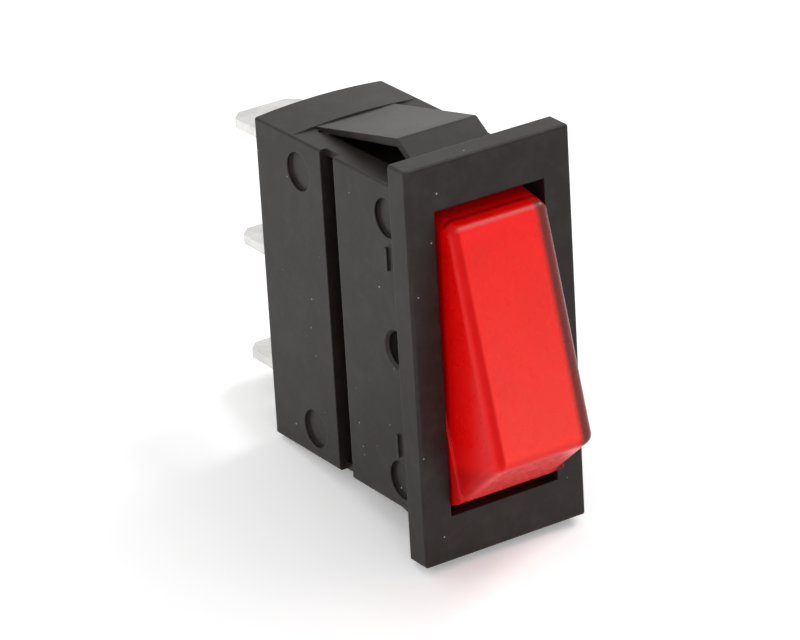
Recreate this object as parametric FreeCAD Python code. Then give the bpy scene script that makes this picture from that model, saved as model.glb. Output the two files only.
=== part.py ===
import FreeCAD, Part
import math
import os

# Panel rocker switch. Millimetres. The origin is the centre of the bezel's back face,
# +X to the right seen from the front, +Y into the panel, +Z up.

# Bezel and the opening for the rocker
BEZEL_W = 15.11
BEZEL_H = 33.0
BEZEL_T = 2.23
BEZEL_EDGE_R = 0.25
OPEN_H = 25.4
OPEN_NECK = 0.4

# Body behind the bezel
BODY_W = 12.07
BODY_SIDE_T = 0.985
OPEN_W = BODY_W - 2 * BODY_SIDE_T
BODY_H = 27.36
BODY_D = 21.3
BODY_EDGE_R = 0.2
WELL_FIT = 0.25
WELL_Y = 7.1
CHAMBER_SIDE_T = 1.835
CHAMBER_W = BODY_W - 2 * CHAMBER_SIDE_T
STOP_LEDGE = 1.5
REAR_WALL = 1.5

# Crowned block along the top and bottom of the body's rear end
BLOCK_Y = 16.1
BLOCK_RISE = 0.3

# Side details
GROOVE_Y = (10.1, 12.0)
GROOVE_DEPTH = 1.25
GROOVE_WEB_INSET = 0.66
GROOVE_WEB_H = 0.6
DISC_R = 1.6
DISC_DEPTH = 0.3
DISC_SPOTS = ((15.3, 10.9), (15.3, -11.2), (2.95, 10.85), (2.95, -11.2))
RIB_Y = 3.1
RIB_T = 0.3
RIB_RISE = 0.18
RIB_SPANS = ((6.5, 8.4), (-9.2, -7.3))
RELIEF_Y = 1.3
RELIEF_DROP = 0.5

# Snap latches, heights measured from the body's top
LATCH_W = 7.3
LATCH_ROOT = (16.1, 0.14)
LATCH_PEAK = (4.5, 2.57)
LATCH_TIP = (1.0, 0.32)
LATCH_T_TIP = 0.55
LATCH_T_ROOT = 0.35
LATCH_PEAK_R = 0.35
LATCH_BURY = 0.3
LATCH_HEEL = 0.5
LATCH_KNEE_T = 0.7
LATCH_SEAT = 0.15
POCKET_W = LATCH_W - 2 * LATCH_SEAT
POCKET_Y = (1.2, 15.2)
POCKET_DEPTH = 1.28
ROOT_HOLE = 0.6

# Pivot
PIVOT_Y = 2.55
PIVOT_HOLE_R = 1.42
PIVOT_SINK = 0.23
PIVOT_FIT = 0.05
TRUNNION_R = PIVOT_HOLE_R - PIVOT_FIT
TRUNNION_INSET = 0.35
SWING = 15.0

# Rocker lens, distances measured from the pivot with the rocker square to the panel
PAD_REACH = 8.9
PAD_HALF = 9.4
PAD_EDGE_R = 0.85
PAD_CORNER_R = 0.9
END_R = 12.75
END_REACH = 2.3
SKIRT_FIT = 0.2
SKIRT_W = OPEN_W - 2 * SKIRT_FIT
SKIRT_REACH = 2.9
FLANK_STEP = 0.2
FLANK_DRAFT = 0.15
FLANK_W = SKIRT_W - 2 * FLANK_STEP
PAD_W = FLANK_W - 2 * FLANK_DRAFT
LENS_BACK = 1.2
LENS_PAD_T = 0.9
LENS_END_T = 1.2
LENS_SLOPE_T = 1.32
LENS_STEP = 0.4
LENS_SIDE_T = 0.88
EAR_R = 2.7
EAR_SLOT_FIT = 0.04

# Carrier inside the lens, with the plunger's guide
CARRIER_FIT = 0.03
CARRIER_PLATE_T = 1.4
CARRIER_HALF = 7.9
RAIL_T = 0.8
RAIL_BACK = 0.6
BOSS_WALL = 0.6
STEM_R = 2.2
STEM_BACK = 6.4
BORE_R = 1.35
BORE_FRONT = 3.4

# Plunger and its spring
PLUNGER_FIT = 0.05
PLUNGER_R = BORE_R - PLUNGER_FIT
PLUNGER_REACH = 9.0
PLUNGER_TIP_R = 1.0
PLUNGER_SHOULDER = 5.6
PLUNGER_SHANK_L = 3.4
PLUNGER_PEG_L = 1.2
SPRING_R = 0.95
SPRING_WIRE_R = 0.14
SPRING_TURNS = 6

# See-saw contact arm, measured from its own axis
ARM_Y = 11.85
ARM_TILT = 6.0
ARM_T = 0.5
ARM_W = 3.6
DISH_R = 5.08
DISH_BACK = 5.28
DISH_HALF = 2.5
ARM_FLAT_Y = -0.75
ARM_LONG = 8.9
ARM_SHORT = 4.7
ARM_BEND = 1.5
LUG_R = 0.3
LUG_BITE = 0.4
LUG_FIT = 0.03
CONTACT_Z = 7.5
CONTACT_R = 1.3
CONTACT_T = 0.6
SHANK_R = 0.6
HEAD_R = 0.84
HEAD_T = 0.25
CONTACT_GAP = 0.05

# Terminals: 6.3 x 0.8 tabs
TAB_W = 6.3
TAB_T = 0.8
TAB_END = 30.3
TAB_Z = 10.15
TAB_CHAMFER = 1.1
TAB_EDGE = 0.18
TAB_HOLE_R = 0.85
TAB_HOLE_BACK = 4.0
SLOT_FIT = 0.03
FORK_DEPTH = 1.25
FORK_EAR_W = 0.85
FOOT_W = 4.8
FOOT_T = 0.8
FOOT_MARGIN = 0.3
STEP_Y = 16.6

# Neon lamp, resistor and wiring
LAMP_Y = (8.6, 15.6)
LAMP_Z = 7.75
LAMP_R = 2.1
LAMP_WALL = 0.3
PRESS_L = 1.6
PRESS_W = 3.36
PRESS_T = 1.2
PRESS_OVERLAP = 0.4
PINCH_T = 0.7
SHELF_T = 0.5
SHELF_BITE = 0.1
SHELF_Y = (8.9, 15.9)
WIRE_R = 0.22
LEAD_X = 0.6
ELECTRODE_R = 0.35
ELECTRODE_TAIL = 2.4
LEAD_TURN = 0.4
SLEEVE_TURN = 1.4
RESISTOR_R = 0.8
RESISTOR_CAP_R = 0.9
RESISTOR_CAP_L = 0.7
CAP_EDGE_R = 0.15
RESISTOR_Y = (9.6, 13.6)
RESISTOR_SIDE_GAP = 0.2
RESISTOR_X = CHAMBER_W / 2 - RESISTOR_CAP_R - RESISTOR_SIDE_GAP
RESISTOR_Z = 10.4
RETURN_GAP = 2.1
RETURN_TURN = 0.6
RETURN_LAP = 1.6
SLEEVE_R = 0.42
SLEEVE_SIDE_GAP = 0.06
SLEEVE_X = SLEEVE_R + SLEEVE_SIDE_GAP - CHAMBER_W / 2
SLEEVE_CLEARANCE = 0.1
SLEEVE_HALF = 2.4

# Sizes that follow from the others
WELL_H = 2 * (END_R + WELL_FIT)
CHAMBER_H = WELL_H - 2 * STOP_LEDGE
FORK_BASE = ARM_Y + FORK_DEPTH
PLUNGER_BACK = PLUNGER_SHOULDER - PLUNGER_SHANK_L
ELECTRODE_END = LAMP_Y[1] - ELECTRODE_TAIL
SLEEVE_Y = LAMP_Y[1] + SLEEVE_TURN

TINY = 0.001


def vec(x, y, z):
    return FreeCAD.Vector(x, y, z)


def box(x0, x1, y0, y1, z0, z1):
    return Part.makeBox(x1 - x0, y1 - y0, z1 - z0, vec(x0, y0, z0))


def mid_box(width, y0, y1, height):
    return box(-width / 2, width / 2, y0, y1, -height / 2, height / 2)


def rod(radius, start, end):
    run = vec(*end) - vec(*start)
    return Part.makeCylinder(radius, run.Length, vec(*start), run)


def side_plate(points, width):
    """A flat outline in Y and Z, spread evenly about x = 0."""
    ring = [vec(-width / 2, y, z) for y, z in points]
    return Part.Face(Part.makePolygon(ring + ring[:1])).extrude(vec(width, 0, 0))


def top_plate(points, height):
    """A flat outline in X and Y, spread evenly about z = 0."""
    ring = [vec(x, y, -height / 2) for x, y in points]
    return Part.Face(Part.makePolygon(ring + ring[:1])).extrude(vec(0, 0, height))


def mirrored(shape, normal):
    return shape.mirror(vec(0, 0, 0), normal)


def both_sides(shape):
    return [shape, mirrored(shape, vec(1, 0, 0))]


def both_ends(shape):
    return [shape, mirrored(shape, vec(0, 0, 1))]


def edges_along(shape, axis, keep):
    found = []
    for edge in shape.Edges:
        if len(edge.Vertexes) < 2:
            continue
        ends = [vertex.Point for vertex in edge.Vertexes]
        run = ends[1] - ends[0]
        if run.Length > TINY and abs(run.normalize().dot(axis)) > 0.999:
            if keep(edge.CenterOfMass):
                found.append(edge)
    return found


# Housing

def bezel():
    plate = mid_box(BEZEL_W, -BEZEL_T, 0, BEZEL_H)
    front = [e for e in plate.Edges if abs(e.CenterOfMass.y + BEZEL_T) < TINY]
    corners = edges_along(plate, vec(0, 1, 0), lambda c: True)
    return plate.makeFillet(BEZEL_EDGE_R, front + corners)


def body_block():
    block = mid_box(BODY_W, -BEZEL_T / 2, BODY_D, BODY_H)
    long_edges = edges_along(block, vec(0, 1, 0), lambda c: True)
    return block.makeFillet(BODY_EDGE_R, long_edges)


def crown():
    """The rear block's top is an arc across the body, level with it at both sides."""
    edge_z = BODY_H / 2
    half = BODY_W / 2 - BODY_EDGE_R
    low = [vec(half, BLOCK_Y, edge_z), vec(half, BLOCK_Y, 0),
           vec(-half, BLOCK_Y, 0), vec(-half, BLOCK_Y, edge_z)]
    arc = Part.Arc(low[3], vec(0, BLOCK_Y, BODY_H / 2 + BLOCK_RISE), low[0]).toShape()
    face = Part.Face(Part.Wire(Part.makePolygon(low).Edges + [arc]))
    return face.extrude(vec(0, BODY_D - BLOCK_Y, 0))


def latch_leaf():
    """A cantilever from the rear block, up to its peak and back down to the bezel."""
    spots = [(y, BODY_H / 2 + rise) for y, rise in (LATCH_ROOT, LATCH_PEAK, LATCH_TIP)]
    (root_y, root_z), (peak_y, peak_z), (tip_y, tip_z) = spots
    bury = BODY_H / 2 - LATCH_T_ROOT
    buried_y = root_y + LATCH_BURY
    heel_y = root_y - LATCH_HEEL
    outline = [(buried_y, bury), (buried_y, root_z), (root_y, root_z), (peak_y, peak_z),
               (tip_y, tip_z), (tip_y + LATCH_T_TIP / 2, tip_z - LATCH_T_TIP),
               (peak_y, peak_z - LATCH_KNEE_T), (heel_y, root_z - LATCH_T_ROOT),
               (heel_y, bury)]
    leaf = side_plate(outline, LATCH_W)
    peak = edges_along(leaf, vec(1, 0, 0),
                       lambda c: abs(c.y - peak_y) < TINY and abs(c.z - peak_z) < TINY)
    return leaf.makeFillet(LATCH_PEAK_R, peak)


def latch_pocket():
    front, back = POCKET_Y
    half = POCKET_W / 2
    top = BODY_H / 2
    blind = box(-half, half, WELL_Y, back, top - POCKET_DEPTH, BODY_H)
    window = box(-half, half, front, WELL_Y + TINY, WELL_H / 2 - POCKET_DEPTH, BODY_H)
    parts = [blind, window]
    for side in (-1, 1):
        x = side * LATCH_W / 2
        parts.append(rod(ROOT_HOLE / 2, (x, back, top - ROOT_HOLE), (x, back, BODY_H)))
    return parts


def side_groove():
    """Groove down the body's side, with a thin web across each of its ends."""
    front, back = GROOVE_Y
    floor = BODY_W / 2 - GROOVE_DEPTH
    web = BODY_W / 2 - GROOVE_WEB_INSET
    reach = BODY_H / 2 - GROOVE_WEB_H
    run = box(floor, BODY_W, front, back, -reach, reach)
    ends = box(web, BODY_W, front, back, -BODY_H, BODY_H)
    return [run, ends]


def side_cuts():
    cuts = side_groove()
    outer = BODY_W / 2
    for y, z in DISC_SPOTS:
        cuts.append(rod(DISC_R, (outer - DISC_DEPTH, y, z), (BODY_W, y, z)))
    cuts.append(rod(PIVOT_HOLE_R, (0, PIVOT_Y, 0), (BODY_W, PIVOT_Y, 0)))
    sink_r = PIVOT_HOLE_R + PIVOT_SINK
    cuts.append(Part.makeCone(PIVOT_HOLE_R, sink_r, PIVOT_SINK,
                              vec(outer - PIVOT_SINK, PIVOT_Y, 0), vec(1, 0, 0)))
    edge = box(outer - RELIEF_DROP, BODY_W, 0, RELIEF_Y, BODY_H / 2 - RELIEF_DROP, BODY_H)
    return cuts + both_ends(edge)


def side_ribs():
    outer = BODY_W / 2
    ribs = []
    for low, high in RIB_SPANS:
        ribs.append(box(outer - RIB_RISE, outer + RIB_RISE, RIB_Y - RIB_T / 2,
                        RIB_Y + RIB_T / 2, low, high))
    return ribs


def tab_slots():
    slots = []
    for z in (-TAB_Z, 0, TAB_Z):
        half_w = TAB_W / 2 + SLOT_FIT
        half_t = TAB_T / 2 + SLOT_FIT
        slots.append(box(-half_w, half_w, BODY_D - 2 * REAR_WALL, 2 * BODY_D,
                         z - half_t, z + half_t))
    return slots


def lamp_shelf():
    """A shelf across the chamber that the lamp lies on."""
    top = LAMP_Z - LAMP_R
    half = CHAMBER_W / 2 + SHELF_BITE
    return box(-half, half, SHELF_Y[0], SHELF_Y[1], top - SHELF_T, top)


def housing():
    solid = bezel().fuse([body_block()] + both_ends(crown()))
    cuts = [mid_box(OPEN_W, -2 * BEZEL_T, OPEN_NECK, OPEN_H),
            mid_box(OPEN_W, OPEN_NECK - TINY, WELL_Y, WELL_H),
            mid_box(CHAMBER_W, WELL_Y - TINY, BODY_D - REAR_WALL, CHAMBER_H)]
    cuts += tab_slots()
    for cut in side_cuts():
        cuts += both_sides(cut)
    for cut in latch_pocket():
        cuts += both_ends(cut)
    solid = solid.cut(cuts)
    adds = both_ends(latch_leaf()) + [lamp_shelf()]
    for rib in side_ribs():
        adds += both_sides(rib)
    return solid.fuse(adds).removeSplitter()


# Rocker

def lens_profile(reach, half, end_reach, end_r, back):
    """Half outline in Y and Z from the pad, down the end slope and round the arc."""
    end_z = math.sqrt(end_r ** 2 - end_reach ** 2)
    back_z = math.sqrt(end_r ** 2 - back ** 2)
    return (-reach, half), (-end_reach, end_z), (0, end_r), (back, back_z)


def lens_blank(reach, half, end_reach, end_r, back, width):
    pad, start, crest, end = lens_profile(reach, half, end_reach, end_r, back)

    def spot(y, z):
        return vec(-width / 2, y, z)

    edges = [Part.makeLine(spot(pad[0], -pad[1]), spot(*pad)),
             Part.makeLine(spot(*pad), spot(*start)),
             Part.Arc(spot(*start), spot(*crest), spot(*end)).toShape(),
             Part.makeLine(spot(*end), spot(end[0], -end[1])),
             Part.Arc(spot(end[0], -end[1]), spot(crest[0], -crest[1]),
                      spot(start[0], -start[1])).toShape(),
             Part.makeLine(spot(start[0], -start[1]), spot(pad[0], -pad[1]))]
    return Part.Face(Part.Wire(edges)).extrude(vec(width, 0, 0))


def corner_edges(shell):
    """The four edges between the end slopes and the flanks, in front of the skirt."""
    found = []
    for edge in shell.Edges:
        ys = [vertex.Point.y for vertex in edge.Vertexes]
        if min(ys) < -PAD_REACH + TINY and -SKIRT_REACH - TINY < max(ys) < 0:
            found.append(edge)
    return found


def lens_outer():
    blank = lens_blank(PAD_REACH, PAD_HALF, END_REACH, END_R, LENS_BACK, SKIRT_W)
    flanks = top_plate([(-SKIRT_W / 2, LENS_BACK), (-SKIRT_W / 2, -SKIRT_REACH),
                        (-FLANK_W / 2, -SKIRT_REACH), (-PAD_W / 2, -PAD_REACH),
                        (PAD_W / 2, -PAD_REACH), (FLANK_W / 2, -SKIRT_REACH),
                        (SKIRT_W / 2, -SKIRT_REACH), (SKIRT_W / 2, LENS_BACK)], 3 * END_R)
    shell = blank.common(flanks)
    shell = shell.makeFillet(PAD_CORNER_R, corner_edges(shell))
    rim = [e for e in shell.Edges if abs(e.CenterOfMass.y + PAD_REACH) < TINY]
    return shell.makeFillet(PAD_EDGE_R, rim)


def lens_hollow():
    blank = lens_blank(PAD_REACH - LENS_PAD_T, PAD_HALF - LENS_SLOPE_T, END_REACH - LENS_STEP,
                       END_R - LENS_END_T, LENS_BACK + 1, SKIRT_W)
    wide = SKIRT_W / 2 - LENS_SIDE_T
    neck = FLANK_W / 2 - LENS_SIDE_T
    slim = PAD_W / 2 - LENS_SIDE_T
    flanks = top_plate([(-wide, LENS_BACK + 1), (-wide, -SKIRT_REACH + LENS_SIDE_T),
                        (-neck, -SKIRT_REACH), (-slim, -PAD_REACH), (slim, -PAD_REACH),
                        (neck, -SKIRT_REACH), (wide, -SKIRT_REACH + LENS_SIDE_T),
                        (wide, LENS_BACK + 1)], 3 * END_R)
    return blank.common(flanks)


def rocker_lens():
    """Hollow red lens with an ear on each side, slotted to slide over the carrier's pins."""
    inner = SKIRT_W / 2 - LENS_SIDE_T
    ears = rod(EAR_R, (inner, 0, 0), (SKIRT_W / 2, 0, 0))
    slot_r = TRUNNION_R + EAR_SLOT_FIT
    seat = rod(slot_r, (-SKIRT_W, 0, 0), (SKIRT_W, 0, 0))
    slot = mid_box(2 * SKIRT_W, 0, 2 * EAR_R, 2 * slot_r)
    shell = lens_outer().cut(lens_hollow())
    shell = shell.fuse(both_sides(ears))
    return rocked(shell.cut([seat, slot]).removeSplitter())


def rocked(shape):
    shape = shape.copy()
    shape.translate(vec(0, PIVOT_Y, 0))
    shape.rotate(vec(0, PIVOT_Y, 0), vec(1, 0, 0), -SWING)
    return shape


def rocker_carrier():
    """Plate against the lens, two side rails with the pivot pins, and the plunger's guide."""
    front = -(PAD_REACH - LENS_PAD_T)
    plate_half = PAD_W / 2 - LENS_SIDE_T
    rail = SKIRT_W / 2 - LENS_SIDE_T - CARRIER_FIT
    flank = FLANK_W / 2 - LENS_SIDE_T - CARRIER_FIT
    outline = [(-plate_half, front), (plate_half, front), (flank, -SKIRT_REACH),
               (rail, -SKIRT_REACH + LENS_SIDE_T), (rail, RAIL_BACK), (rail - RAIL_T, RAIL_BACK),
               (flank - RAIL_T, -SKIRT_REACH), (plate_half - RAIL_T, front + CARRIER_PLATE_T),
               (-plate_half + RAIL_T, front + CARRIER_PLATE_T), (-flank + RAIL_T, -SKIRT_REACH),
               (-rail + RAIL_T, RAIL_BACK), (-rail, RAIL_BACK), (-rail, -SKIRT_REACH + LENS_SIDE_T),
               (-flank, -SKIRT_REACH)]
    channel = top_plate(outline, 2 * CARRIER_HALF)
    stem = rod(STEM_R, (0, front + CARRIER_PLATE_T / 2, 0), (0, STEM_BACK, 0))
    rib_half = FLANK_W / 2 - LENS_SIDE_T - RAIL_T / 2
    web = box(-rib_half, rib_half, front + CARRIER_PLATE_T / 2, -RAIL_BACK, -RAIL_T / 2, RAIL_T / 2)
    bore = rod(BORE_R, (0, -BORE_FRONT, 0), (0, STEM_BACK + BORE_R, 0))
    boss = rod(TRUNNION_R + BOSS_WALL, (rail - RAIL_T, 0, 0), (rail, 0, 0))
    pin = rod(TRUNNION_R, (rail - RAIL_T, 0, 0), (BODY_W / 2 - TRUNNION_INSET, 0, 0))
    solid = channel.fuse([stem, web] + both_sides(boss) + both_sides(pin))
    return rocked(solid.cut(bore).removeSplitter())


def plunger():
    centre = PLUNGER_REACH - PLUNGER_TIP_R
    shank = rod(PLUNGER_R, (0, PLUNGER_BACK, 0), (0, PLUNGER_SHOULDER, 0))
    nose = rod(PLUNGER_TIP_R, (0, PLUNGER_BACK, 0), (0, centre, 0))
    peg = rod(SPRING_R / 2, (0, PLUNGER_BACK - PLUNGER_PEG_L, 0), (0, PLUNGER_BACK + TINY, 0))
    tip = Part.makeSphere(PLUNGER_TIP_R, vec(0, centre, 0))
    return rocked(shank.fuse([nose, peg, tip]).removeSplitter())


def plunger_spring():
    """Coil between the bottom of the guide's bore and the plunger."""
    start = -BORE_FRONT + SPRING_WIRE_R
    length = PLUNGER_BACK - SPRING_WIRE_R - start
    helix = Part.makeHelix(length / SPRING_TURNS, length, SPRING_R)
    wire = Part.Wire(Part.makeCircle(SPRING_WIRE_R, vec(SPRING_R, 0, 0), vec(0, 1, 0)))
    coil = Part.Wire(helix.Edges).makePipeShell([wire], True, True)
    coil.rotate(vec(0, 0, 0), vec(1, 0, 0), -90)
    coil.translate(vec(0, start, 0))
    return rocked(coil)


# Contacts

def tilted(shape):
    shape = shape.copy()
    shape.translate(vec(0, ARM_Y, 0))
    shape.rotate(vec(0, ARM_Y, 0), vec(1, 0, 0), ARM_TILT)
    return shape


def contact_arm():
    """Strip dished round the plunger's path, flat beyond it, with two pivot lugs."""
    inner = -DISH_BACK + math.sqrt(DISH_R ** 2 - DISH_HALF ** 2)
    outer_r = DISH_R + ARM_T
    outer_half = DISH_HALF + ARM_T / 3
    outer = -DISH_BACK + math.sqrt(outer_r ** 2 - outer_half ** 2)
    flat = ARM_FLAT_Y
    bend = DISH_HALF + ARM_BEND

    def spot(y, z):
        return vec(-ARM_W / 2, y, z)

    low = [spot(inner, -DISH_HALF), spot(flat, -bend), spot(flat, -ARM_LONG),
           spot(flat + ARM_T, -ARM_LONG), spot(flat + ARM_T, -bend), spot(outer, -outer_half)]
    high = [spot(outer, outer_half), spot(flat + ARM_T, ARM_SHORT), spot(flat, ARM_SHORT),
            spot(inner, DISH_HALF)]
    back = Part.Arc(low[-1], spot(DISH_R + ARM_T - DISH_BACK, 0), high[0]).toShape()
    dish = Part.Arc(high[-1], spot(DISH_R - DISH_BACK, 0), low[0]).toShape()
    edges = Part.makePolygon(low).Edges + [back] + Part.makePolygon(high).Edges + [dish]
    strip = Part.Face(Part.Wire(edges)).extrude(vec(ARM_W, 0, 0))
    lug = rod(LUG_R, (ARM_W / 2 - LUG_BITE, 0, 0), (TAB_W / 2, 0, 0))
    hole = rod(SHANK_R, (0, flat - ARM_T, -CONTACT_Z), (0, flat + 2 * ARM_T, -CONTACT_Z))
    return tilted(strip.fuse(both_sides(lug)).cut(hole).removeSplitter())


def rivet(face_y, back_y, shank_y, z):
    """Contact button with a shank, and a peened head beyond the sheet."""
    step = math.copysign(HEAD_T, shank_y - back_y)
    button = rod(CONTACT_R, (0, face_y, z), (0, back_y, z))
    shank = rod(SHANK_R, (0, back_y, z), (0, shank_y, z))
    head = rod(HEAD_R, (0, shank_y, z), (0, shank_y + step, z))
    return button.fuse([shank, head]).removeSplitter()


def moving_contact():
    back = ARM_FLAT_Y + ARM_T
    return tilted(rivet(back + CONTACT_T, back, ARM_FLAT_Y, -CONTACT_Z))


def contact_face_y():
    """Where the closed moving contact's lower rim comes to, plus the contact gap."""
    angle = math.radians(ARM_TILT)
    reach = ARM_FLAT_Y + ARM_T + CONTACT_T
    far = CONTACT_Z + CONTACT_R
    return ARM_Y + reach * math.cos(angle) + far * math.sin(angle) + CONTACT_GAP


def fixed_contact():
    face = contact_face_y()
    back = face + CONTACT_T
    return rivet(face, back, back + FOOT_T, -CONTACT_Z)


# Terminals

def tab(z, front):
    """Blade with chamfered tip corners, softened tip faces and a locking hole."""
    half = TAB_W / 2
    tip = TAB_END
    outline = [(-half, front), (-half, tip - TAB_CHAMFER), (-half + TAB_CHAMFER, tip),
               (half - TAB_CHAMFER, tip), (half, tip - TAB_CHAMFER), (half, front)]
    blade = top_plate(outline, TAB_T)
    tip_edges = edges_along(blade, vec(1, 0, 0), lambda c: abs(c.y - tip) < TINY)
    blade = blade.makeChamfer(TAB_EDGE, tip_edges)
    hole_y = tip - TAB_HOLE_BACK
    blade = blade.cut(rod(TAB_HOLE_R, (0, hole_y, -TAB_T), (0, hole_y, TAB_T)))
    blade.translate(vec(0, 0, z))
    return blade


def terminal_line():
    """Centre terminal, forked at the front to carry the arm's lugs, clear of the sleeve."""
    half = TAB_W / 2
    ears = box(half - FORK_EAR_W, half, ARM_Y, FORK_BASE + TINY, -TAB_T / 2, TAB_T / 2)
    groove = rod(LUG_R + LUG_FIT, (-TAB_W, ARM_Y, 0), (TAB_W, ARM_Y, 0))
    passage = rod(SLEEVE_R + SLEEVE_CLEARANCE, (SLEEVE_X, SLEEVE_Y, -TAB_T), (SLEEVE_X, SLEEVE_Y, TAB_T))
    return tab(0, FORK_BASE).fuse(both_sides(ears)).cut([groove, passage]).removeSplitter()


def terminal_load():
    """Lower terminal, turned up inside the body to carry the fixed contact."""
    front = contact_face_y() + CONTACT_T
    half = FOOT_W / 2
    top = -CONTACT_Z + CONTACT_R + FOOT_MARGIN
    foot = box(-half, half, front, front + FOOT_T, -TAB_Z - TAB_T / 2, top)
    hole = rod(SHANK_R, (0, front - FOOT_T, -CONTACT_Z), (0, front + 2 * FOOT_T, -CONTACT_Z))
    blade = tab(-TAB_Z, front + FOOT_T - TINY)
    return blade.fuse(foot).cut(hole).removeSplitter()


def terminal_lamp():
    """Upper terminal, for the lamp circuit only; it stops just inside the rear wall."""
    return tab(TAB_Z, STEP_Y)


# Lamp circuit

def lamp_bulb():
    """Glass tube with a domed front end, hollow, closed at the back by its pinch."""
    front, back = LAMP_Y
    crest = front + LAMP_R

    def capsule(radius, start, stop):
        tube = rod(radius, (0, start, LAMP_Z), (0, stop, LAMP_Z))
        return tube.fuse(Part.makeSphere(radius, vec(0, start, LAMP_Z)))

    seal = back - PRESS_L + PRESS_OVERLAP
    glass = capsule(LAMP_R, crest, seal)
    press = box(-PRESS_W / 2, PRESS_W / 2, back - PRESS_L, back,
                LAMP_Z - PRESS_T / 2, LAMP_Z + PRESS_T / 2)
    hollow = capsule(LAMP_R - LAMP_WALL, crest, seal - PINCH_T)
    leads = [rod(WIRE_R, (x, crest, LAMP_Z), (x, back + PRESS_L, LAMP_Z)) for x in (-LEAD_X, LEAD_X)]
    return glass.fuse(press).cut(hollow).cut(leads).removeSplitter()


def path_wire(points):
    """Round wire through the points, with a ball at each bend."""
    parts = [rod(WIRE_R, a, b) for a, b in zip(points, points[1:])]
    parts += [Part.makeSphere(WIRE_R, vec(*p)) for p in points[1:-1]]
    return parts[0].fuse(parts[1:]).removeSplitter()


def electrode(x):
    front = LAMP_Y[0] + LAMP_R
    return rod(ELECTRODE_R, (x, front, LAMP_Z), (x, ELECTRODE_END, LAMP_Z))


def lamp_lead_line():
    """Electrode and lead as one wire, led down the side wall to the load terminal."""
    run_y = SLEEVE_Y
    top = -TAB_Z + TAB_T / 2 + WIRE_R
    wire = path_wire([(-LEAD_X, ELECTRODE_END - WIRE_R, LAMP_Z), (-LEAD_X, run_y, LAMP_Z),
                      (SLEEVE_X, run_y, LAMP_Z), (SLEEVE_X, run_y, top), (-TAB_W / 4, run_y, top)])
    return wire.fuse(electrode(-LEAD_X)).removeSplitter()


def lamp_lead_resistor():
    """Electrode and lead as one wire, turned back to the resistor's rear cap."""
    run_y = LAMP_Y[1] + LEAD_TURN
    wire = path_wire([(LEAD_X, ELECTRODE_END - WIRE_R, LAMP_Z), (LEAD_X, run_y, LAMP_Z),
                      (RESISTOR_X, run_y, LAMP_Z), (RESISTOR_X, run_y, RESISTOR_Z),
                      (RESISTOR_X, RESISTOR_Y[1], RESISTOR_Z)])
    return wire.fuse(electrode(LEAD_X)).removeSplitter()


def resistor_body():
    front, back = RESISTOR_Y
    return rod(RESISTOR_R, (RESISTOR_X, front + RESISTOR_CAP_L / 2, RESISTOR_Z),
               (RESISTOR_X, back - RESISTOR_CAP_L / 2, RESISTOR_Z))


def resistor_cap(outer_y, inward):
    inner_y = outer_y + inward * RESISTOR_CAP_L
    cap = rod(RESISTOR_CAP_R, (RESISTOR_X, outer_y, RESISTOR_Z), (RESISTOR_X, inner_y, RESISTOR_Z))
    rim = [e for e in cap.Edges if abs(e.CenterOfMass.y - outer_y) < TINY]
    return cap.makeFillet(CAP_EDGE_R, rim).cut(resistor_body())


def resistor_lead():
    """From the resistor's front cap, past its side and back to the lamp terminal."""
    front = RESISTOR_Y[0]
    turn = front - RETURN_TURN
    side = RESISTOR_X - RETURN_GAP
    top = TAB_Z + TAB_T / 2 + WIRE_R
    return path_wire([(RESISTOR_X, front, RESISTOR_Z), (RESISTOR_X, turn, RESISTOR_Z),
                      (side, turn, top), (side, STEP_Y + RETURN_LAP, top)])


def lead_sleeve():
    """Insulating tube on the lead where it passes the centre terminal."""
    tube = rod(SLEEVE_R, (SLEEVE_X, SLEEVE_Y, -SLEEVE_HALF), (SLEEVE_X, SLEEVE_Y, SLEEVE_HALF))
    return tube.cut(rod(WIRE_R, (SLEEVE_X, SLEEVE_Y, -BODY_H), (SLEEVE_X, SLEEVE_Y, BODY_H)))


def main():
    nodes = {
        "housing": housing(),
        "rocker_lens": rocker_lens(),
        "rocker_carrier": rocker_carrier(),
        "plunger": plunger(),
        "plunger_spring": plunger_spring(),
        "contact_arm": contact_arm(),
        "moving_contact": moving_contact(),
        "fixed_contact": fixed_contact(),
        "terminal_line": terminal_line(),
        "terminal_load": terminal_load(),
        "terminal_lamp": terminal_lamp(),
        "lamp_bulb": lamp_bulb(),
        "lamp_lead_line": lamp_lead_line(),
        "lamp_lead_resistor": lamp_lead_resistor(),
        "resistor_body": resistor_body(),
        "resistor_cap_front": resistor_cap(RESISTOR_Y[0], 1),
        "resistor_cap_rear": resistor_cap(RESISTOR_Y[1], -1),
        "resistor_lead": resistor_lead(),
        "lead_sleeve": lead_sleeve(),
    }
    os.makedirs("parts", exist_ok=True)
    for name, shape in nodes.items():
        solid = shape.Solids[0] if len(shape.Solids) == 1 else shape
        solid.exportStep("parts/" + name + ".step")


main()
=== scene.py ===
"""Looks of a slim panel rocker switch: black moulded housing, clear red rocker, tinned tabs."""

import math

import bpy
from mathutils import Matrix, Vector

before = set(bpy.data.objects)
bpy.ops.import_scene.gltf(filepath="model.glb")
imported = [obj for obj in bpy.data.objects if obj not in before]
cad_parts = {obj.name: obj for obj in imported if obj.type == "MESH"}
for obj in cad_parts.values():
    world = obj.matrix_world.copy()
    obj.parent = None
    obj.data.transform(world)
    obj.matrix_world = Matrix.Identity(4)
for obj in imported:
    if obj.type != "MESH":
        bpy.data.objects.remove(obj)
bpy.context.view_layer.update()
MM = 0.001

# The rocker's pivot, and how far the rocker is turned about it in the rest frame
PIVOT_Y = 2.55 * MM
SWING = math.radians(15)

# The lowest point of the lower latch, on which the switch rests
LATCH_Y = 4.5 * MM
LATCH_Z = -16.3 * MM

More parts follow.
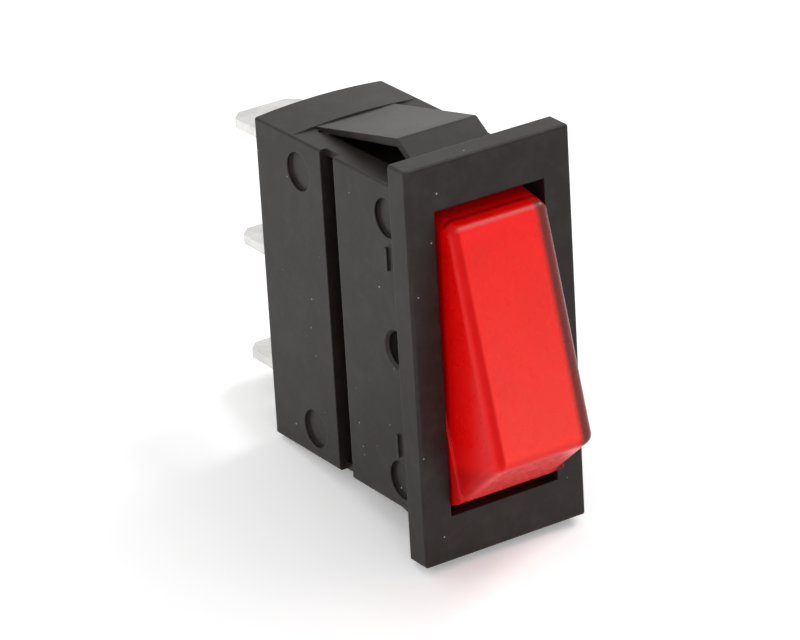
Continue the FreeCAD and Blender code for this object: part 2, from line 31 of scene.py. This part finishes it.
# Camera: azimuth, elevation and roll in degrees, and its place in metres
CAMERA_TURN = (-32.480, 23.676, -3.443)
CAMERA_PLACE = (-0.18784, -0.28372, 0.15122)
SENSOR_WIDTH = 36
NEAREST = 0.01

# Soft square lights aimed at the origin: place and side, in metres
LIGHTS = {
    "key": ((0.62, 0.1, 0.5), 0.22),
    "back": ((-0.05, 0.25, 0.7), 0.5),
    "top": ((0.39, -0.14, 0.68), 0.35),
    "side": ((-0.7, 0.05, 0.25), 1.0),
    "front": ((-0.25, -0.75, 0.15), 0.4),
}
WORLD_FILL = 0.55
FLOOR_SIZE = 6
FLOOR_LIFT = 0.2

# Depths of the surface grain, for bump nodes
GRAIN_DEPTH = 0.006 * MM
LACQUER_DEPTH = 0.01 * MM
RIPPLE_DEPTH = 0.012 * MM
ROLLING_DEPTH = 0.003 * MM

# How far the edge mask reaches: edges scuffed and lightened, partly as painted sheen
MOULDED_EDGE = 0.13 * MM
ROCKER_EDGE = 0.1 * MM
CUT_EDGE = 0.12 * MM
SCUFF_AND_SHEEN_EDGE = 0.06 * MM

MOULDED_GRAIN = 5200.0
DUST_COLOR = (0.55, 0.53, 0.5, 1)
CUT_METAL = (0.5, 0.44, 0.33)

# Painted rings of the resistor: colours from the front, the first one's y, pitch and width
RINGS = ((0.2, 0.06, 0.02), (0.01, 0.01, 0.01), (0.75, 0.55, 0.02))
RING_Y = 10.9 * MM
RING_PITCH = 0.7 * MM
RING_WIDTH = 0.3 * MM

bl_info = {
    "name": "Panel rocker switch",
    "version": (1, 0, 0),
    "blender": (4, 5, 0),
    "location": "View3D > Sidebar > Switch",
    "description": "Finishes and studio for a slim snap-in rocker switch",
    "category": "Object",
}


# Node trees

class Tree:
    """A shader node tree with short calls for adding and linking nodes."""

    def __init__(self, nodes_owner):
        self.nodes = nodes_owner.nodes
        self.links = nodes_owner.links

    def add(self, kind, inputs=None, **settings):
        node = self.nodes.new(kind)
        for key, value in settings.items():
            setattr(node, key, value)
        for key, value in (inputs or {}).items():
            self.feed(node.inputs[key], value)
        return node

    def feed(self, socket, value):
        if isinstance(value, bpy.types.NodeSocket):
            self.links.new(value, socket)
        else:
            socket.default_value = value

    def math(self, operation, *values, clamp=False):
        node = self.add("ShaderNodeMath", operation=operation, use_clamp=clamp)
        for socket, value in zip(node.inputs, values):
            self.feed(socket, value)
        return node.outputs[0]

    def spread(self, value, low, high, to_low=0.0, to_high=1.0):
        """Maps a value from one range to another, clamped."""
        node = self.add("ShaderNodeMapRange", {"Value": value, "From Min": low, "From Max": high,
                                               "To Min": to_low, "To Max": to_high})
        return node.outputs["Result"]

    def ramp(self, value, start, end, level=1.0):
        """0 up to one place and level from the other on, both given in mm."""
        return self.spread(value, start * MM, end * MM, 0.0, level)

    def band(self, value, centre, inner, outer, level=1.0):
        """Level within inner mm of a centre, falling to 0 at outer mm from it."""
        away = self.math("ABSOLUTE", self.math("SUBTRACT", value, centre * MM))
        return self.spread(away, inner * MM, outer * MM, level, 0.0)

    def product(self, first, *others):
        for other in others:
            first = self.math("MULTIPLY", first, other)
        return first

    def blend(self, factor, first, second):
        node = self.add("ShaderNodeMix", data_type="RGBA", blend_type="MIX")
        self.feed(node.inputs[0], factor)
        self.feed(node.inputs[6], first)
        self.feed(node.inputs[7], second)
        return node.outputs[2]

    def place(self):
        """Object coordinates."""
        return self.add("ShaderNodeTexCoord").outputs["Object"]

    def noise(self, vector, scale, detail=3.0, rough=0.55):
        node = self.add("ShaderNodeTexNoise", {"Vector": vector, "Scale": scale, "Detail": detail,
                                               "Roughness": rough})
        return node.outputs["Fac"]


def group(name, inputs, outputs):
    """A new node group: inputs are name to (type, default), outputs name to type."""
    tree = bpy.data.node_groups.new(name, "ShaderNodeTree")
    for label, (kind, default) in inputs.items():
        socket = tree.interface.new_socket(label, in_out="INPUT", socket_type="NodeSocket" + kind)
        socket.default_value = default
    for label, kind in outputs.items():
        tree.interface.new_socket(label, in_out="OUTPUT", socket_type="NodeSocket" + kind)
    work = Tree(tree)
    entry = work.add("NodeGroupInput")
    leave = work.add("NodeGroupOutput")
    return work, entry.outputs, leave.inputs


def moulded_grain():
    """Fine spark-eroded grain with slow flow marks, for moulded plastic."""
    work, given, out = group("Moulded grain",
                             {"Grain scale": ("Float", MOULDED_GRAIN), "Roughness": ("Float", 0.4),
                              "Spread": ("Float", 0.08)},
                             {"Roughness": "Float", "Height": "Float"})
    place = work.place()
    fine = work.noise(place, given["Grain scale"], 2.0)
    flow = work.noise(place, 160.0, 3.0, 0.6)
    lift = work.math("MULTIPLY", work.math("SUBTRACT", flow, 0.5), given["Spread"])
    grain = work.math("MULTIPLY", work.math("SUBTRACT", fine, 0.5), given["Spread"])
    both = work.math("ADD", lift, grain)
    work.feed(out["Roughness"], work.math("ADD", given["Roughness"], both, clamp=True))
    work.feed(out["Height"], fine)
    return work.nodes.id_data


def dust():
    """Sparse pale specks and a faint film over a colour."""
    work, given, out = group("Dust",
                             {"Color": ("Color", (0.01, 0.01, 0.01, 1)), "Amount": ("Float", 0.5),
                              "Speck size": ("Float", 0.055)},
                             {"Color": "Color"})
    place = work.place()
    cells = work.add("ShaderNodeTexVoronoi", {"Vector": place, "Scale": 760.0})
    distance = cells.outputs["Distance"]
    picked = work.add("ShaderNodeSeparateColor", {"Color": cells.outputs["Color"]}).outputs["Red"]
    speck = work.math("LESS_THAN", distance, given["Speck size"])
    chosen = work.math("GREATER_THAN", picked, 0.35)
    patch = work.spread(work.noise(place, 240.0, 2.0), 0.42, 0.62)
    mask = work.math("MULTIPLY", work.product(speck, chosen, patch), given["Amount"], clamp=True)
    film = work.spread(work.noise(place, 420.0, 5.0, 0.7), 0.45, 0.8, 0.0, 0.035)
    film = work.math("MULTIPLY", film, given["Amount"])
    hazed = work.blend(film, given["Color"], DUST_COLOR)
    work.feed(out["Color"], work.blend(mask, hazed, DUST_COLOR))
    return work.nodes.id_data


def edge_wear_and_sheen():
    """Mask of the outer edges, from the difference a small bevel makes to the normal."""
    work, given, out = group("Edge wear",
                             {"Reach": ("Float", CUT_EDGE), "Break up": ("Float", 0.5)},
                             {"Mask": "Float", "Normal": "Vector"})
    bevel = work.add("ShaderNodeBevel", {"Radius": given["Reach"]}, samples=6)
    flat = work.add("ShaderNodeNewGeometry").outputs["Normal"]
    turn = work.add("ShaderNodeVectorMath", operation="DOT_PRODUCT")
    work.feed(turn.inputs[0], bevel.outputs["Normal"])
    work.feed(turn.inputs[1], flat)
    edge = work.spread(turn.outputs["Value"], 0.995, 0.86)
    worn = work.spread(work.noise(work.place(), 700.0, 4.0), given["Break up"], 0.75)
    work.feed(out["Mask"], work.math("MULTIPLY", edge, worn, clamp=True))
    work.feed(out["Normal"], bevel.outputs["Normal"])
    return work.nodes.id_data


def rolled_sheet():
    """Long fine rolling lines along Y, for blanked metal strip."""
    work, given, out = group("Rolled sheet",
                             {"Color": ("Color", (0.6, 0.6, 0.6, 1)), "Roughness": ("Float", 0.3)},
                             {"Color": "Color", "Roughness": "Float", "Height": "Float"})
    stretch = work.add("ShaderNodeMapping", {"Vector": work.place(), "Scale": (1.0, 0.04, 1.0)})
    lines = work.noise(stretch.outputs["Vector"], 5200.0, 3.0, 0.7)
    bloom = work.noise(work.place(), 380.0, 5.0, 0.65)
    worn = work.math("MULTIPLY", work.math("SUBTRACT", lines, 0.5), 0.25)
    work.feed(out["Roughness"], work.math("ADD", given["Roughness"], worn, clamp=True))
    shade = work.spread(bloom, 0.3, 0.75, 0.72, 1.08)
    tone = work.add("ShaderNodeVectorMath", operation="SCALE")
    work.feed(tone.inputs[0], given["Color"])
    work.feed(tone.inputs["Scale"], shade)
    work.feed(out["Color"], tone.outputs["Vector"])
    work.feed(out["Height"], lines)
    return work.nodes.id_data


GROUPS = {}


def shared(name):
    """The node group of that name, built at its first use."""
    makers = {"grain": moulded_grain, "dust": dust, "edge": edge_wear_and_sheen, "sheet": rolled_sheet}
    if name not in GROUPS:
        GROUPS[name] = makers[name]()
    return GROUPS[name]


def start(name):
    """A new material with its tree, its Principled shader and its output node."""
    material = bpy.data.materials.new(name)
    material.use_nodes = True
    work = Tree(material.node_tree)
    shader = work.nodes["Principled BSDF"]
    return material, work, shader, work.nodes["Material Output"]


def lend(work, name, **values):
    """The outputs of a shared group, with its inputs set by name, _ for each space."""
    node = work.add("ShaderNodeGroup", node_tree=shared(name))
    for key, value in values.items():
        work.feed(node.inputs[key.replace("_", " ")], value)
    return node.outputs


def bumped(work, shader, height, strength, distance, normal=None):
    """Feeds the shader's normal from a height, over another normal if one is given."""
    bump = work.add("ShaderNodeBump", {"Height": height, "Strength": strength,
                                       "Distance": distance})
    if normal is not None:
        work.feed(bump.inputs["Normal"], normal)
    work.feed(shader.inputs["Normal"], bump.outputs["Normal"])


def moulded(name, color, roughness, dusty=0.5, wear_and_sheen=0.25, shine=0.23):
    """Moulded plastic: grain, flow marks, dust, and edges lightened as scuffs and painted sheen."""
    material, work, shader, _ = start(name)
    edges = lend(work, "edge", Reach=MOULDED_EDGE)
    skin = lend(work, "grain", Grain_scale=MOULDED_GRAIN, Roughness=roughness, Spread=0.1)
    body = lend(work, "dust", Color=(*color, 1), Amount=dusty)
    # Lighter edge colour: partly scuffs, partly painted sheen
    scuffed_and_lit = tuple(min(1.0, c * 2.2 + 0.02) for c in color)
    mask = work.math("MULTIPLY", edges["Mask"], wear_and_sheen)
    work.feed(shader.inputs["Base Color"], work.blend(mask, body["Color"], (*scuffed_and_lit, 1)))
    work.feed(shader.inputs["Roughness"], skin["Roughness"])
    bumped(work, shader, skin["Height"], 0.35, GRAIN_DEPTH, edges["Normal"])
    shader.inputs["IOR"].default_value = 1.5
    shader.inputs["Specular IOR Level"].default_value = shine
    return material


def rocker_place(work):
    """X, depth and height on the rocker's own axes, square to its pad, from its pivot."""
    turn = work.add("ShaderNodeMapping", vector_type="POINT")
    work.feed(turn.inputs["Vector"], work.place())
    work.feed(turn.inputs["Location"],
              (0, -PIVOT_Y * math.cos(SWING), -PIVOT_Y * math.sin(SWING)))
    work.feed(turn.inputs["Rotation"], (SWING, 0, 0))
    split = work.add("ShaderNodeSeparateXYZ", {"Vector": turn.outputs["Vector"]})
    return split.outputs["X"], split.outputs["Y"], split.outputs["Z"]


def inner_shadow(work, across, along, cloud):
    """Faint painted shadow in the pad, left of its middle, of a part inside the rocker."""
    aside = work.math("DIVIDE", work.math("ADD", across, 2.4 * MM), 1.3 * MM)
    above = work.math("DIVIDE", work.math("ADD", along, 1.8 * MM), 2.8 * MM)
    reach = work.math("ADD", work.product(aside, aside), work.product(above, above))
    return work.product(work.spread(reach, 0.1, 1.5, 0.16, 0.0),
                        work.spread(cloud, 0.0, 0.6, 0.5, 1.0))


def rocker_painted_light(work, across, depth, along, cloud):
    """Masks and colours of painted shade, highlight and reflection on the rocker, and the mask of
    its rougher lines.
    """
    face = work.ramp(depth, -8.6, -8.9)
    sides = work.math("SUBTRACT", 1.0, face)
    front = work.ramp(depth, -7.6, -8.6)
    ends = work.spread(work.math("ABSOLUTE", along), 9.5 * MM, 10.1 * MM, 1.0, 0.0)
    shoulder = work.product(front, ends)

    # Lower end: painted shade on the low left flank, painted reflection (a paler red) on the end
    # face
    foot = work.product(work.ramp(along, -9.2, -10.1), sides)
    inner = work.ramp(across, -4.4, -3.8)
    foot_side_shade = work.product(foot, work.spread(inner, 0.0, 1.0, 0.8, 0.0))
    foot_face_reflection = work.product(foot, work.product(inner, 0.6))
    # Painted shade low on the rocker's right side, deep toward the bezel
    corner_shade = work.product(work.ramp(along, -9.1, -10.0), work.ramp(depth, -7.2, -5.8),
                          work.ramp(across, 3.6, 4.3))

    # Deep red lines along the pad's left and lower edges, and a darker patch low on the left flank:
    # painted shade, made rougher too
    left = work.product(work.band(across, -4.12, 0.16, 0.42), shoulder)
    sill_shade = work.product(work.band(along, -9.4, 0.2, 0.6, 0.45),
                        work.product(front, work.ramp(across, -4.1, -3.7)))
    heel_shade = work.product(work.ramp(along, -7.4, -8.6, 0.7), work.ramp(across, -4.4, -5.2))
    dull_and_shaded = work.math("MAXIMUM", work.math("MAXIMUM", left, sill_shade), heel_shade)

    # Painted highlight along the pad's top edge, a greyish pink
    brow_highlight = work.product(work.ramp(along, 9.1, 9.3, 0.6), face)
    # Painted shade along a step on the rocker's top end
    ridge_shade = work.product(work.band(depth, -7.7, 0.05, 0.3, 0.8), work.ramp(along, 9.4, 9.7))
    # Painted shade: a dark band along the pad's right edge, on its shaded side
    rim_shade = work.product(work.product(work.ramp(across, 3.0, 3.5), shoulder), 0.92)
    marks = (
        (inner_shadow(work, across, along, cloud), (0.55, 0.02, 0.02)),
        # Flanks painted a darker, deeper red as shade
        (sides, (0.7, 0.0008, 0.0006)),
        (foot_side_shade, (0.4, 0.002, 0.002)),
        (foot_face_reflection, (0.9, 0.07, 0.07)),
        (corner_shade, (0.08, 0.002, 0.002)),
        (dull_and_shaded, (0.6, 0.0002, 0.0002)),
        (brow_highlight, (0.42, 0.16, 0.15)),
        (ridge_shade, (0.2, 0.0005, 0.0005)),
        (rim_shade, (0.10, 0.022, 0.020)),
    )
    return marks, dull_and_shaded


def milky_red(name, color, roughness):
    """Tinted plastic that spreads light inside; painted light makes it paler toward the pad's lower
    end.
    """
    material, work, shader, _ = start(name)
    edges = lend(work, "edge", Reach=ROCKER_EDGE)
    place = work.place()
    across, depth, along = rocker_place(work)
    cloud = work.spread(work.noise(place, 210.0, 4.0, 0.6), 0.35, 0.7)
    marks, dull_and_shaded = rocker_painted_light(work, across, depth, along, cloud)

    smear = work.spread(work.noise(place, 600.0, 4.0, 0.6), 0.35, 0.75, roughness, roughness + 0.1)
    # Rougher along the painted shade lines
    work.feed(shader.inputs["Roughness"], work.math("ADD", smear, work.product(dull_and_shaded, 0.6)))

    deep = tuple(c * 0.82 for c in color)
    # Painted light: the tint turns paler toward the pad's lower end
    pale = (color[0], color[1] * 5.0, color[2] * 5.0)
    tint = work.blend(cloud, (*color, 1), (*deep, 1))
    tint = work.blend(work.ramp(along, 9.0, -9.0, 0.8), tint, (*pale, 1))
    # Painted shade, highlight and reflection laid over the tint
    for mask, painted_color in marks:
        tint = work.blend(mask, tint, (*painted_color, 1))
    work.feed(shader.inputs["Base Color"], tint)

    shader.inputs["Specular IOR Level"].default_value = 0.22
    shader.inputs["Subsurface Weight"].default_value = 0.6
    shader.inputs["Subsurface Radius"].default_value = (1.0, 0.16, 0.12)
    shader.inputs["Subsurface Scale"].default_value = 1.6 * MM
    shader.inputs["IOR"].default_value = 1.56
    bumped(work, shader, work.noise(place, 900.0, 2.0), 0.12, RIPPLE_DEPTH, edges["Normal"])
    return material


def strip_metal(name, color, roughness, cut=None):
    """Rolled strip or wire. Its edges are scuffed bright with painted sheen, or show the cut metal
    if one is given.
    """
    material, work, shader, _ = start(name)
    edges = lend(work, "edge", Reach=CUT_EDGE if cut else SCUFF_AND_SHEEN_EDGE)
    sheet = lend(work, "sheet", Color=(*color, 1), Roughness=roughness)
    # The cut metal is the cut edges' own colour; the brighter edge colour is scuffs and painted
    # sheen
    bright = cut or tuple(min(1.0, c * 1.25) for c in color)
    mask = work.math("MULTIPLY", edges["Mask"], 0.85 if cut else 0.6)
    work.feed(shader.inputs["Base Color"], work.blend(mask, sheet["Color"], (*bright, 1)))
    work.feed(shader.inputs["Roughness"], sheet["Roughness"])
    shader.inputs["Metallic"].default_value = 1.0
    bumped(work, shader, sheet["Height"], 0.2, ROLLING_DEPTH, edges["Normal"])
    return material


def lamp_glass(name):
    """Clear thin glass with a little haze."""
    material, work, shader, _ = start(name)
    haze = work.spread(work.noise(work.place(), 500.0, 3.0), 0.4, 0.8, 0.02, 0.12)
    work.feed(shader.inputs["Roughness"], haze)
    shader.inputs["Base Color"].default_value = (0.93, 0.96, 0.97, 1)
    shader.inputs["Transmission Weight"].default_value = 1.0
    shader.inputs["IOR"].default_value = 1.48
    return material


def banded_coat(name, color):
    """Resistor lacquer with painted rings across Y."""
    material, work, shader, _ = start(name)
    along = work.add("ShaderNodeSeparateXYZ", {"Vector": work.place()}).outputs["Y"]
    skin = lend(work, "grain", Grain_scale=4000.0, Roughness=0.35, Spread=0.08)
    shade = lend(work, "dust", Color=(*color, 1), Amount=0.2)["Color"]
    for index, ring in enumerate(RINGS):
        away = work.math("ABSOLUTE", work.math("SUBTRACT", along, RING_Y + index * RING_PITCH))
        inside = work.math("LESS_THAN", away, RING_WIDTH / 2)
        shade = work.blend(inside, shade, (*ring, 1))
    work.feed(shader.inputs["Base Color"], shade)
    work.feed(shader.inputs["Roughness"], skin["Roughness"])
    bumped(work, shader, skin["Height"], 0.3, LACQUER_DEPTH)
    return material


def dress(material, *names):
    """Puts a material on every slot of the named CAD pieces."""
    for name in names:
        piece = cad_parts[name]
        if not piece.material_slots:
            piece.data.materials.append(material)
        for place in piece.material_slots:
            place.material = material


# Settings

class HousingSettings(bpy.types.PropertyGroup):
    color: bpy.props.FloatVectorProperty(
        name="Plastic", description="Colour of the black moulding", subtype="COLOR", size=3,
        min=0, max=1, default=(0.0125, 0.0084, 0.0070))
    roughness: bpy.props.FloatProperty(
        name="Roughness", description="Gloss of the moulding", min=0, max=1, default=0.42,
        subtype="FACTOR")
    dust: bpy.props.FloatProperty(
        name="Dust", description="Amount of pale specks", min=0, max=1, default=0.7,
        subtype="FACTOR")


class RockerSettings(bpy.types.PropertyGroup):
    lens: bpy.props.FloatVectorProperty(
        name="Lens", description="Tint of the clear rocker", subtype="COLOR", size=3, min=0, max=1,
        default=(1.0, 0.010, 0.007))
    # Very dark: the carrier's own black, deepened as painted shade in the pivot holes
    carrier: bpy.props.FloatVectorProperty(
        name="Carrier", description="Colour of the frame inside the rocker", subtype="COLOR",
        size=3, min=0, max=1, default=(0.003, 0.0024, 0.0022))
    gloss: bpy.props.FloatProperty(
        name="Roughness", description="Roughness of the rocker's surface", min=0, max=1,
        default=0.24, subtype="FACTOR")


class MetalSettings(bpy.types.PropertyGroup):
    tin: bpy.props.FloatVectorProperty(
        name="Tabs", description="Colour of the tinned tabs", subtype="COLOR", size=3, min=0, max=1,
        default=(0.74, 0.73, 0.71))
    copper: bpy.props.FloatVectorProperty(
        name="Arm", description="Colour of the contact arm", subtype="COLOR", size=3, min=0, max=1,
        default=(0.8, 0.45, 0.28))
    silver: bpy.props.FloatVectorProperty(
        name="Contacts", description="Colour of the contact rivets", subtype="COLOR", size=3,
        min=0, max=1, default=(0.86, 0.85, 0.82))
    steel: bpy.props.FloatVectorProperty(
        name="Spring", description="Colour of the spring wire", subtype="COLOR", size=3, min=0,
        max=1, default=(0.55, 0.55, 0.56))


class StageSettings(bpy.types.PropertyGroup):
    key: bpy.props.FloatProperty(
        name="Key light", description="Power of the small soft light on the right", min=0,
        default=2.1, unit="POWER")
    back: bpy.props.FloatProperty(
        name="Back light", description="Power of the large soft light above and behind", min=0,
        default=0.55, unit="POWER")
    top: bpy.props.FloatProperty(
        name="Top light", description="Power of the soft light above on the right", min=0,
        default=1.0, unit="POWER")
    front: bpy.props.FloatProperty(
        name="Front light", description="Power of the soft light low in front", min=0,
        default=1.35, unit="POWER")
    side: bpy.props.FloatProperty(
        name="Side light", description="Power of the soft light on the left", min=0, default=2.9,
        unit="POWER")
    lens: bpy.props.FloatProperty(
        name="Focal length", description="Camera focal length in millimetres", min=1,
        default=218.016, unit="CAMERA")
    lean: bpy.props.FloatProperty(
        name="Lean", description="Slope of the floor on which the bezel and the latch rest",
        default=0.1343, subtype="ANGLE")


# Operators

class SWITCH_OT_housing(bpy.types.Operator):
    """Finish the housing's black moulding"""
    bl_idname = "switch.housing"
    bl_label = "Finish housing"

    def execute(self, context):
        given = context.scene.switch_housing
        dress(moulded("Black moulding", tuple(given.color), given.roughness, dusty=given.dust),
              "housing")
        return {"FINISHED"}


class SWITCH_OT_rocker(bpy.types.Operator):
    """Finish the clear rocker, its carrier and the plunger"""
    bl_idname = "switch.rocker"
    bl_label = "Finish rocker"

    def execute(self, context):
        given = context.scene.switch_rocker
        dress(milky_red("Milky red", tuple(given.lens), given.gloss), "rocker_lens")
        # The carrier's near-black colour is partly painted shade in the pivot holes
        dress(moulded("Carrier moulding", tuple(given.carrier), 0.75, dusty=0.0, wear_and_sheen=0.0,
                      shine=0.05), "rocker_carrier")
        dress(moulded("Natural acetal", (0.86, 0.85, 0.82), 0.32, dusty=0.0, wear_and_sheen=0.1), "plunger")
        return {"FINISHED"}


class SWITCH_OT_contacts(bpy.types.Operator):
    """Finish the spring, the contact arm and the contact rivets"""
    bl_idname = "switch.contacts"
    bl_label = "Finish contacts"

    def execute(self, context):
        given = context.scene.switch_metal
        dress(strip_metal("Spring wire", tuple(given.steel), 0.28), "plunger_spring")
        dress(strip_metal("Copper strip", tuple(given.copper), 0.34), "contact_arm")
        dress(strip_metal("Contact silver", tuple(given.silver), 0.22), "moving_contact",
              "fixed_contact")
        return {"FINISHED"}


class SWITCH_OT_terminals(bpy.types.Operator):
    """Finish the three push-on tabs"""
    bl_idname = "switch.terminals"
    bl_label = "Finish terminals"

    def execute(self, context):
        given = context.scene.switch_metal
        dress(strip_metal("Tinned strip", tuple(given.tin), 0.3, cut=CUT_METAL), "terminal_line",
              "terminal_load", "terminal_lamp")
        return {"FINISHED"}


class SWITCH_OT_lamp(bpy.types.Operator):
    """Finish the lamp's glass, its wires, the sleeve and the resistor"""
    bl_idname = "switch.lamp"
    bl_label = "Finish lamp circuit"

    def execute(self, context):
        dress(lamp_glass("Lamp glass"), "lamp_bulb")
        dress(strip_metal("Tinned wire", (0.62, 0.6, 0.56), 0.3), "lamp_lead_line",
              "lamp_lead_resistor", "resistor_cap_front", "resistor_cap_rear", "resistor_lead")
        dress(banded_coat("Resistor coat", (0.62, 0.47, 0.26)), "resistor_body")
        dress(moulded("Lead sleeve", (0.8, 0.78, 0.7), 0.6, dusty=0.0, wear_and_sheen=0.0), "lead_sleeve")
        return {"FINISHED"}


def soft_light(name, power):
    """A square area light of the LIGHTS table, aimed at the origin."""
    place, side = LIGHTS[name]
    bpy.ops.object.select_all(action="DESELECT")
    bpy.ops.object.light_add(type="AREA", location=place)
    lamp = bpy.context.object
    lamp.name = name
    lamp.rotation_euler = (-Vector(place)).to_track_quat("-Z", "Y").to_euler()
    lamp.data.shape = "RECTANGLE"
    lamp.data.size = lamp.data.size_y = side
    lamp.data.energy = power


def seen_directly(work):
    """1 for rays from the camera, in reflections and through glass, else 0."""
    rays = work.add("ShaderNodeLightPath").outputs
    seen = work.math("MAXIMUM", rays["Is Camera Ray"], rays["Is Glossy Ray"])
    return work.math("MAXIMUM", seen, rays["Is Transmission Ray"])


def floor_finish():
    """Matt white floor. The camera and reflections see it at paper white, with its shadow."""
    material, work, shader, output = start("White floor")
    paper = work.noise(work.place(), 60.0, 4.0)
    tone = work.spread(paper, 0.2, 0.8, 0.93, 0.95)
    grey = work.add("ShaderNodeCombineColor", {"Red": tone, "Green": tone, "Blue": tone})
    work.feed(shader.inputs["Base Color"], grey.outputs["Color"])
    shader.inputs["Roughness"].default_value = 0.9
    shader.inputs["Specular IOR Level"].default_value = 0.1
    lift = work.add("ShaderNodeEmission", {"Color": (1, 1, 1, 1)})
    work.feed(lift.inputs["Strength"], work.math("MULTIPLY", seen_directly(work), FLOOR_LIFT))
    total = work.add("ShaderNodeAddShader")
    work.feed(total.inputs[0], shader.outputs["BSDF"])
    work.feed(total.inputs[1], lift.outputs["Emission"])
    work.feed(output.inputs["Surface"], total.outputs["Shader"])
    return material


def white_world():
    """White where it is seen directly, a plain fill for everything else."""
    world = bpy.data.worlds.new("Studio")
    world.use_nodes = True
    bpy.context.scene.world = world
    work = Tree(world.node_tree)
    ground = work.nodes["Background"]
    strength = work.spread(seen_directly(work), 0.0, 1.0, WORLD_FILL, 1.0)
    work.feed(ground.inputs["Strength"], strength)
    ground.inputs["Color"].default_value = (1, 1, 1, 1)


def photo_camera(lens):
    """The camera at the photograph's viewing angle."""
    azimuth, elevation, roll = (math.radians(angle) for angle in CAMERA_TURN)
    back = Vector((math.sin(azimuth) * math.cos(elevation),
                   -math.cos(azimuth) * math.cos(elevation), math.sin(elevation)))
    level = Vector((math.cos(azimuth), math.sin(azimuth), 0))
    upright = back.cross(level)
    right = level * math.cos(roll) + upright * math.sin(roll)
    up = back.cross(right)
    bpy.ops.object.camera_add(location=(0, 0, 0))
    camera = bpy.context.object
    camera.data.lens = lens
    camera.data.sensor_width = SENSOR_WIDTH
    camera.data.clip_start = NEAREST
    turn = Matrix((right, up, back)).transposed().to_4x4()
    camera.matrix_world = Matrix.Translation(CAMERA_PLACE) @ turn
    bpy.context.scene.camera = camera


class SWITCH_OT_stage(bpy.types.Operator):
    """Lay the floor, set the lights and place the camera"""
    bl_idname = "switch.stage"
    bl_label = "Set stage"

    def execute(self, context):
        given = context.scene.switch_stage
        bpy.ops.object.select_all(action="DESELECT")
        bpy.ops.mesh.primitive_plane_add(size=FLOOR_SIZE, location=(0, LATCH_Y, LATCH_Z),
                                         rotation=(given.lean, 0, 0))
        floor = context.object
        floor.name = "floor"
        floor.data.materials.append(floor_finish())
        white_world()
        for name in LIGHTS:
            soft_light(name, getattr(given, name))
        photo_camera(given.lens)
        context.scene.view_settings.view_transform = "Standard"
        return {"FINISHED"}


class SWITCH_PT_panel(bpy.types.Panel):
    """Steps for finishing the switch"""
    bl_label = "Panel rocker switch"
    bl_idname = "SWITCH_PT_panel"
    bl_space_type = "VIEW_3D"
    bl_region_type = "UI"
    bl_category = "Switch"

    def draw(self, context):
        for settings, operator, labels in STEPS:
            column = self.layout.column(align=True)
            if settings:
                for label in labels:
                    column.prop(getattr(context.scene, settings), label)
            column.operator(operator)


STEPS = (
    ("switch_housing", "switch.housing", ("color", "roughness", "dust")),
    ("switch_rocker", "switch.rocker", ("lens", "carrier", "gloss")),
    ("switch_metal", "switch.contacts", ("copper", "silver", "steel")),
    ("switch_metal", "switch.terminals", ("tin",)),
    (None, "switch.lamp", ()),
    ("switch_stage", "switch.stage", ("key", "back", "top", "side", "front", "lens", "lean")),
)
SETTINGS = {"switch_housing": HousingSettings, "switch_rocker": RockerSettings,
            "switch_metal": MetalSettings, "switch_stage": StageSettings}
OPERATORS = (SWITCH_OT_housing, SWITCH_OT_rocker, SWITCH_OT_contacts, SWITCH_OT_terminals,
             SWITCH_OT_lamp, SWITCH_OT_stage)


def register():
    for kind in (*SETTINGS.values(), *OPERATORS, SWITCH_PT_panel):
        bpy.utils.register_class(kind)
    for name, kind in SETTINGS.items():
        setattr(bpy.types.Scene, name, bpy.props.PointerProperty(type=kind))


def unregister():
    for name in SETTINGS:
        delattr(bpy.types.Scene, name)
    for kind in reversed((*SETTINGS.values(), *OPERATORS, SWITCH_PT_panel)):
        bpy.utils.unregister_class(kind)


def main():
    register()
    bpy.ops.switch.housing()
    bpy.ops.switch.rocker()
    bpy.ops.switch.contacts()
    bpy.ops.switch.terminals()
    bpy.ops.switch.lamp()
    bpy.ops.switch.stage()


if __name__ == "__main__":
    main()
